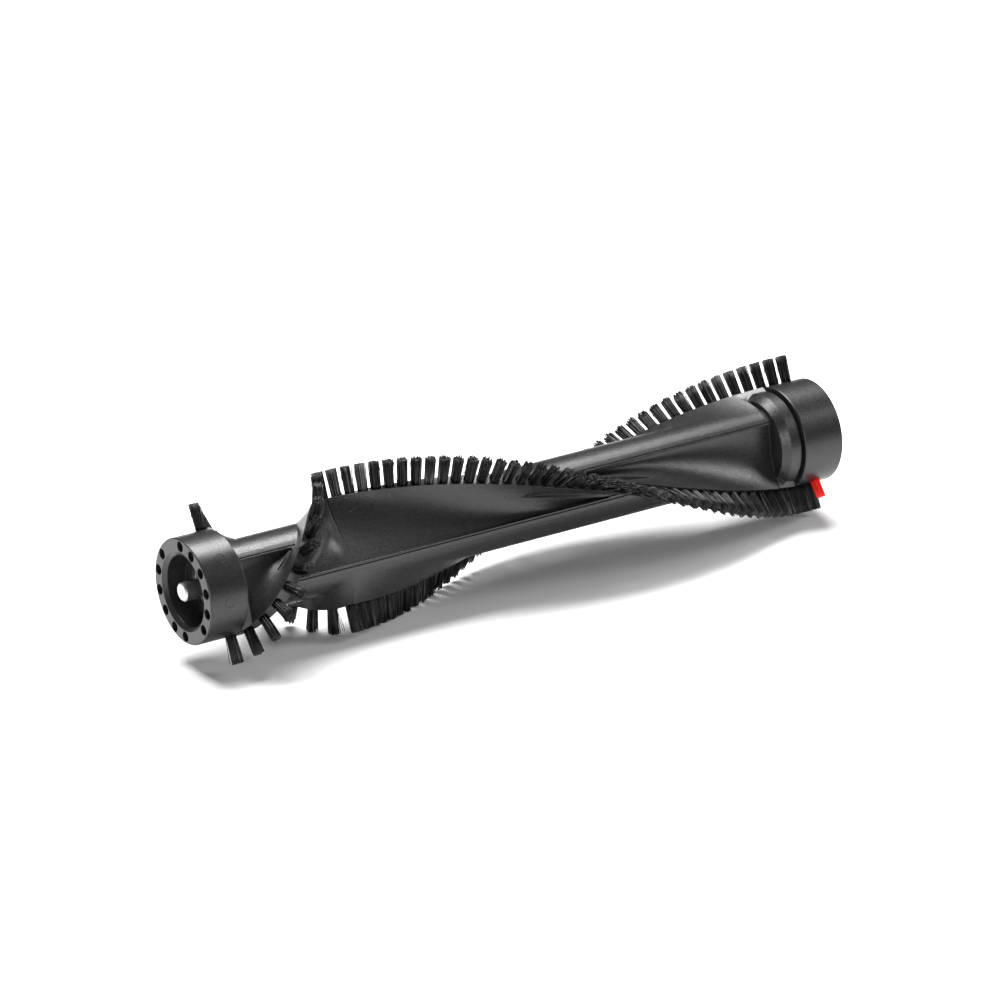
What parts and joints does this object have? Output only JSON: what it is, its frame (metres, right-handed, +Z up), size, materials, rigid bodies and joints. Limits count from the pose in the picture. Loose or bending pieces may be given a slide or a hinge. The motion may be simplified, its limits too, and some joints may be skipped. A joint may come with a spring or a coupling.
{
  "type": "floor cleaner roller brush",
  "caption": "Twisted roller brush for a floor cleaner: moulded core with two helical tuft rows, a wear tuft, a ball-bearing stub axle and a drive socket.",
  "frame": {"origin": "on the roller's axis, in the plane of the bearing hub's open face, where the axle pin's cylinder begins", "axes": "+X along the roller's axis from the bearing end to the drive end, +Z up with the roller lying on its tufts as pictured"},
  "size_m": [0.3166, 0.0688, 0.0688],
  "materials": {
    "black_plastic": "satin black moulded polypropylene with a fine grain and soft broad highlights",
    "black_filament": "straight black nylon filaments, cut level at the tips, greyer where the light catches them",
    "red_filament": "bright red nylon filaments of the wear indicator",
    "bright_steel": "ground bright steel pin with turned end",
    "bearing_steel": "polished bearing steel",
    "shield_steel": "pressed steel bearing shield",
    "spring_steel": "phosphated spring steel retaining ring",
    "cage_plastic": "natural polyamide ball cage",
    "socket_plastic": "glass-filled polyamide drive socket, dark grey",
    "anchor_wire": "galvanised flat anchor wire"
  },
  "bodies": {
    "axle": {"axle_pin": "bright_steel", "pin_retaining_ring": "spring_steel", "bearing_inner_race": "bearing_steel"},
    "ball_set": {"bearing_balls": "bearing_steel", "bearing_cage": "cage_plastic"},
    "roller": {"bearing_outer_race": "bearing_steel", "bearing_shield_outer": "shield_steel", "bearing_shield_inner": "shield_steel", "hub_retaining_ring": "spring_steel", "bearing_hub": "black_plastic", "roller_core": "black_plastic", "drive_hub": "black_plastic", "drive_socket": "socket_plastic", "row_1_short_tufts": "black_filament", "row_1_long_tufts": "black_filament", "row_2_short_tufts": "black_filament", "row_2_long_tufts": "black_filament", "wear_tuft": "red_filament", "row_1_anchors": "anchor_wire", "row_2_anchors": "anchor_wire", "wear_anchor": "anchor_wire"}
  },
  "joints": [
    {"name": "roller_spin", "type": "hinge", "parent": "axle", "child": "roller", "pos_m": [0.0148, 0, 0], "axis": [1, 0, 0], "continuous": true},
    {"name": "ball_set_spin", "type": "hinge", "parent": "axle", "child": "ball_set", "pos_m": [0.0148, 0, 0], "axis": [1, 0, 0], "continuous": true}
  ],
  "couplings": [
    {"joint": "ball_set_spin", "follows": "roller_spin", "ratio": 0.6323}
  ]
}
